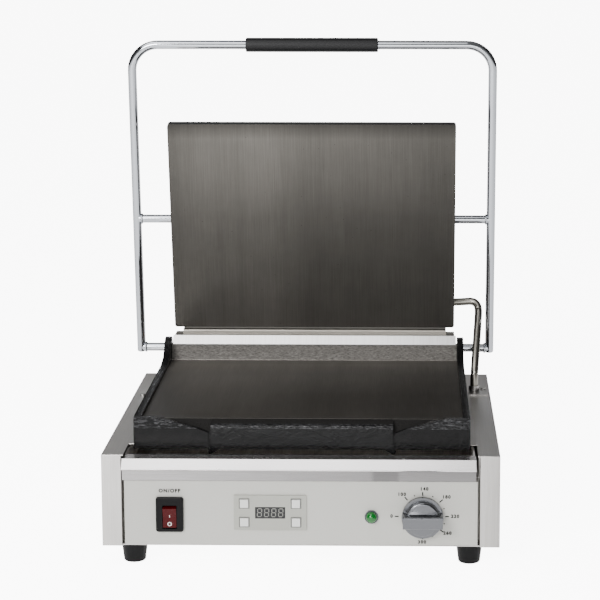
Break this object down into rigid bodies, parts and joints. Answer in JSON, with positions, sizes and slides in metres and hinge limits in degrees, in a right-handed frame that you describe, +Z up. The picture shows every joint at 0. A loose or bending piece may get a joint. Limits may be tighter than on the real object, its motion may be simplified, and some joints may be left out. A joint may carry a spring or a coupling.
{
  "type": "contact grill",
  "caption": "Electric contact grill: boxy stainless base with control panel and drip tray, cast lower plate, and an upper plate hung in a tall chromed handle frame.",
  "frame": {"origin": "centre of the footprint at table level", "axes": "+Z up, X across the front, the operator stands at -Y"},
  "size_m": [0.423, 0.3763, 0.5259],
  "materials": {
    "brushed_stainless": "brushed",
    "panel_paint": "satin",
    "bright_sheet": "satin",
    "ground_iron": "satin",
    "element_sheath": "satin",
    "zinc_steel": "satin",
    "bronze": "satin",
    "spring_steel": "satin",
    "chrome_rod": "polished",
    "grip_black": "matte",
    "foot_rubber": "matte",
    "conduit_metal": "satin",
    "switch_black": "gloss",
    "rocker_red": "gloss",
    "bezel_grey": "satin",
    "window_dark": "gloss",
    "button_white": "satin",
    "board_green": "satin",
    "lamp_chrome": "polished",
    "lamp_green": "gloss",
    "knob_silver": "satin",
    "shaft_steel": "satin",
    "thermostat_black": "matte",
    "terminal_white": "matte",
    "gland_black": "matte"
  },
  "bodies": {
    "base": {"left_side_panel": "brushed_stainless", "right_side_panel": "brushed_stainless", "bottom_plate": "brushed_stainless", "deck_plate": "brushed_stainless", "rear_panel": "brushed_stainless", "control_panel": "panel_paint", "tray_guides": "bright_sheet", "lower_element": "element_sheath", "lower_plate": "ground_iron", "lower_clamps": "zinc_steel", "heat_shield": "bright_sheet", "hinge_brackets": "zinc_steel", "hinge_bushes": "bronze", "spring_housing": "brushed_stainless", "counterbalance_springs": "spring_steel", "rear_deflector": "brushed_stainless", "feet": "foot_rubber", "foot_screws": "zinc_steel", "post_screws": "zinc_steel", "conduit_plate": "brushed_stainless", "rail_screws": "zinc_steel", "lid_conduit": "conduit_metal", "switch_housing": "switch_black", "display_bezel": "bezel_grey", "display_window": "window_dark", "timer_board": "board_green", "lamp_body": "lamp_chrome", "lamp_lens": "lamp_green", "thermostat_body": "thermostat_black", "terminal_block": "terminal_white", "cable_gland": "gland_black"},
    "tray": {"drip_tray": "bright_sheet", "tray_front": "brushed_stainless"},
    "lid_frame": {"handle_frame": "chrome_rod", "pivot_shaft": "chrome_rod", "cross_rod": "chrome_rod", "shaft_collars": "zinc_steel", "handle_grip": "grip_black"},
    "upper": {"upper_plate": "ground_iron", "upper_element": "element_sheath", "upper_clamps": "zinc_steel", "hanger_blocks": "zinc_steel", "upper_cover": "brushed_stainless", "conduit_ferrule": "conduit_metal", "cover_bolts": "zinc_steel"},
    "knob": {"thermostat_knob": "knob_silver", "knob_shaft": "shaft_steel"},
    "rocker": {"switch_rocker": "rocker_red"},
    "button_1": {"timer_button_1": "button_white"},
    "button_2": {"timer_button_2": "button_white"},
    "button_3": {"timer_button_3": "button_white"},
    "button_4": {"timer_button_4": "button_white"}
  },
  "joints": [
    {"name": "lid_close", "type": "hinge", "parent": "base", "child": "lid_frame", "pos_m": [0, 0.148, 0.155], "axis": [1, 0, 0], "range_deg": [0, 78.8], "stiffness_Nm_per_rad": 4.4, "springref_deg": -38.96, "deforming": ["lid_conduit"]},
    {"name": "plate_tilt", "type": "hinge", "parent": "lid_frame", "child": "upper", "pos_m": [0, 0.13006, 0.31248], "axis": [-1, 0, 0], "range_deg": [-12, 0]},
    {"name": "tray_slide", "type": "slide", "parent": "base", "child": "tray", "axis": [0, -1, 0], "range_m": [0, 0.12]},
    {"name": "knob_turn", "type": "hinge", "parent": "base", "child": "knob", "pos_m": [0.1255, -0.17, 0.0525], "axis": [0, 1, 0], "range_deg": [0, 270]},
    {"name": "rocker_press", "type": "hinge", "parent": "base", "child": "rocker", "pos_m": [-0.1351, -0.164, 0.0515], "axis": [-1, 0, 0], "range_deg": [0, 14]},
    {"name": "button_1_press", "type": "slide", "parent": "base", "child": "button_1", "axis": [0, 1, 0], "range_m": [0, 0.0008], "stiffness_N_per_m": 600},
    {"name": "button_2_press", "type": "slide", "parent": "base", "child": "button_2", "axis": [0, 1, 0], "range_m": [0, 0.0008], "stiffness_N_per_m": 600},
    {"name": "button_3_press", "type": "slide", "parent": "base", "child": "button_3", "axis": [0, 1, 0], "range_m": [0, 0.0008], "stiffness_N_per_m": 600},
    {"name": "button_4_press", "type": "slide", "parent": "base", "child": "button_4", "axis": [0, 1, 0], "range_m": [0, 0.0008], "stiffness_N_per_m": 600}
  ]
}
